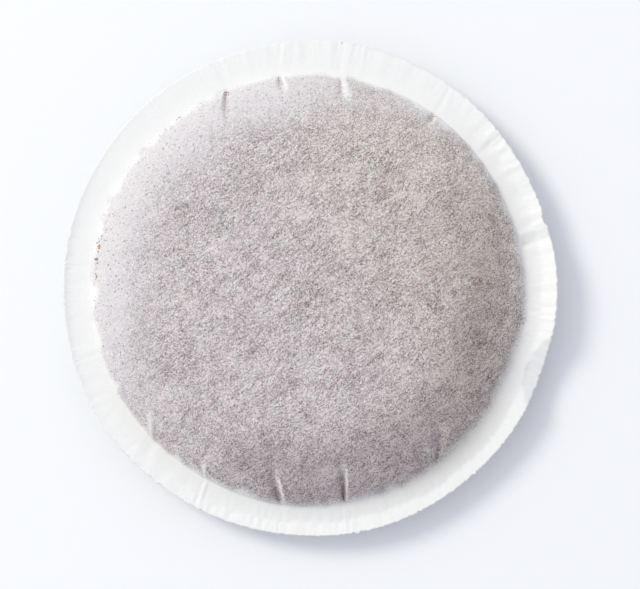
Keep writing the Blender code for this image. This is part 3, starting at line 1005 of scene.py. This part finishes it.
def paper_over_loose_coffee(tree, place, fleece, salt, loose):
    """Colour where the coffee lies loosely under the paper: lilac, with lone dark specks."""
    pale = calculate(tree, "MULTIPLY_ADD", salt, 0.5, calculate(tree, "MULTIPLY", fleece, 0.5))
    chance = calculate(tree, "MULTIPLY_ADD", loose, -0.14, chance_cells(tree, place, LONE_SPECK_SIZE))
    return mixed(tree, stepped(tree, chance, 0.62, 0.84), mixed(tree, pale, *LILAC), LONE_SPECK)


def coffee_shown(tree, place, clump):
    """How far coffee shows through, 0 to 1: its edge is broken up into lumps."""
    cover = attribute_value(tree, "coffee_cover")
    grain = noise(tree, place, EDGE_GRAIN_SIZE, 1.0)
    chance = calculate(tree, "MULTIPLY_ADD", grain, 1.6, calculate(tree, "MULTIPLY_ADD", clump, 0.6, -1.10))
    middling = calculate(tree, "MULTIPLY", cover, calculate(tree, "SUBTRACT", 1.0, cover))
    shown = calculate(tree, "MULTIPLY_ADD", chance, calculate(tree, "MULTIPLY", middling, 4.0), cover)
    return add_node(tree, "ShaderNodeClamp", {"Value": shown}).outputs[0]


def paper_relief(tree, place, fleece, clump):
    """Height of the paper's fibres and clumps, and of the crimp that runs across the outer rim."""
    across = attribute_value(tree, "rim_across")
    parts = add_node(tree, "ShaderNodeSeparateXYZ", {"Vector": place}).outputs
    turn = calculate(tree, "MULTIPLY", calculate(tree, "ARCTAN2", parts["Y"], parts["X"]), 34.0)
    out = calculate(tree, "MULTIPLY", across, 1.6)
    wound = add_node(tree, "ShaderNodeCombineXYZ", {"X": turn, "Y": out}).outputs[0]
    creases = add_node(tree, "ShaderNodeTexNoise", {"Vector": wound, "Scale": 1.5, "Detail": 2.0}).outputs[0]
    crimp = calculate(tree, "MULTIPLY", creases, stepped(tree, across, 0.30, 0.75, 0.0, 3.0))
    return calculate(tree, "MULTIPLY_ADD", fleece, 0.7, calculate(tree, "MULTIPLY_ADD", clump, 0.3, crimp))


def filter_paper():
    """Thin white fleece of long fibres, grey where coffee lies against it and tinted beside it. The tint
    beside it and the darkening where it is pressed are partly painted shade.
    """
    material, tree, shader = new_material("filter_paper", 0.92, 0.2)
    place = millimetres(tree)
    bent = bent_place(tree, place)
    fleece = crossed_fibres(tree, bent)
    salt = chance_cells(tree, place, SALT_SIZE)
    clump = noise(tree, place, CLUMP_SIZE, 1.0)
    loose = attribute_value(tree, "coffee_loose")
    tight_colour = paper_over_coffee(tree, place, bent, fleece, salt, clump)
    loose_colour = paper_over_loose_coffee(tree, place, fleece, salt, loose)
    over_coffee = mixed(tree, calculate(tree, "MULTIPLY", loose, 0.92), tight_colour, loose_colour)
    bare = mixed(tree, fleece, *WHITE)
    # tint of the rim beside the coffee: partly a coffee stain, partly painted shade from the crown
    bare = mixed(tree, attribute_value(tree, "stain_and_shade"), bare, STAIN_AND_SHADE_TINT, "MULTIPLY")
    colour = mixed(tree, coffee_shown(tree, place, clump), bare, over_coffee)
    tree.links.new(colour, shader.inputs["Base Color"])
    relief = paper_relief(tree, place, fleece, clump)
    bump = add_node(tree, "ShaderNodeBump", {"Strength": 0.35, "Distance": 0.06 * MM, "Height": relief})
    tree.links.new(bump.outputs[0], shader.inputs["Normal"])
    return material


def coffee_grounds():
    """Dark roasted coffee, each grain a little lighter or darker, and a few bits of orange chaff."""
    material, tree, shader = new_material("ground_coffee", 0.75)
    speckle = noise(tree, millimetres(tree), 0.22, 2.0)
    tone = added(tree, attribute_value(tree, "grain_tone"), speckle, 0.7)
    colour = mixed(tree, attribute_value(tree, "grain_veil"), ramp_colour(tree, tone, GROUNDS_TONES), VEIL)
    tree.links.new(colour, shader.inputs["Base Color"])
    bump = add_node(tree, "ShaderNodeBump", {"Strength": 0.6, "Distance": 0.08 * MM, "Height": speckle})
    tree.links.new(bump.outputs[0], shader.inputs["Normal"])
    return material


def table_top():
    material, _, shader = new_material("table_top", 0.9, 0.1)
    shader.inputs["Base Color"].default_value = (0.925, 0.942, 0.980, 1.0)
    return material


def lay_table():
    half = TABLE_SIZE / 2.0
    corners = [(-half, -half, 0), (half, -half, 0), (half, half, 0), (-half, half, 0)]
    mesh = bpy.data.meshes.new("table")
    mesh.from_pydata(corners, [], [(0, 1, 2, 3)])
    new_piece(mesh, table_top())


def hang_lamp(name, size, power, azimuth, height, distance):
    """A round lamp that faces the pad, at an azimuth and a height in degrees."""
    lamp = bpy.data.lights.new(name, "AREA")
    lamp.shape = "DISK"
    lamp.size = size
    lamp.energy = power
    lamp.color = DAYLIGHT
    holder = bpy.data.objects.new(name, lamp)
    bpy.context.scene.collection.objects.link(holder)
    turn, rise = math.radians(azimuth), math.radians(height)
    x, y = distance * math.cos(rise) * math.cos(turn), distance * math.cos(rise) * math.sin(turn)
    holder.location = (x, y, distance * math.sin(rise))
    holder.rotation_euler = (0.0, math.radians(90) - rise, turn)


def light_scene():
    """A window and a wide soft box from the upper left, over an even pale sky."""
    hang_lamp("window", 0.40, 5.9, 145, 40, 1.20)
    hang_lamp("soft_box", 1.60, 5.0, 145, 42, 1.60)

    world = bpy.data.worlds.new("sky")
    bpy.context.scene.world = world
    world.use_nodes = True
    tree = world.node_tree
    sky = tree.nodes["Background"]
    sky.inputs["Color"].default_value = SKY_LIGHT
    sky.inputs["Strength"].default_value = SKY_STRENGTH
    backdrop = add_node(tree, "ShaderNodeBackground", {"Color": SKY_SEEN, "Strength": 1.0}).outputs[0]
    seen = add_node(tree, "ShaderNodeLightPath").outputs["Is Camera Ray"]
    choice = add_node(tree, "ShaderNodeMixShader", {0: seen, 1: sky.outputs[0], 2: backdrop})
    tree.links.new(choice.outputs[0], tree.nodes["World Output"].inputs["Surface"])


def place_camera():
    """Straight above the pad, at the picture's scale where the rim lies."""
    camera = bpy.data.cameras.new("camera")
    camera.lens = LENS
    camera.sensor_width = SENSOR
    camera.clip_start = 0.01
    holder = bpy.data.objects.new("camera", camera)
    bpy.context.scene.collection.objects.link(holder)
    distance = LENS / SENSOR * PICTURE_WIDTH * METRES_PER_PX
    right = (PICTURE_WIDTH / 2.0 - PAD_MIDDLE_PX[0]) * METRES_PER_PX
    up = (PAD_MIDDLE_PX[1] - PICTURE_HEIGHT / 2.0) * METRES_PER_PX
    holder.location = (right, up, RIM_HEIGHT + distance)
    bpy.context.scene.camera = holder


def dress_papers():
    paper = filter_paper()
    upper = filter_sheet("upper_paper", crown, UPPER_OUTER, True, UPPER_TEETH, paper)
    lower = filter_sheet("lower_paper", belly, LOWER_OUTER, False, LOWER_TEETH, paper)
    for sheet, node in ((upper, "upper_filter_sheet"), (lower, "lower_filter_sheet")):
        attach(sheet, "root")
        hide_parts(node)


bpy.context.scene.view_settings.view_transform = "Standard"
place_camera()
light_scene()
lay_table()
dress_papers()
dress_coffee()
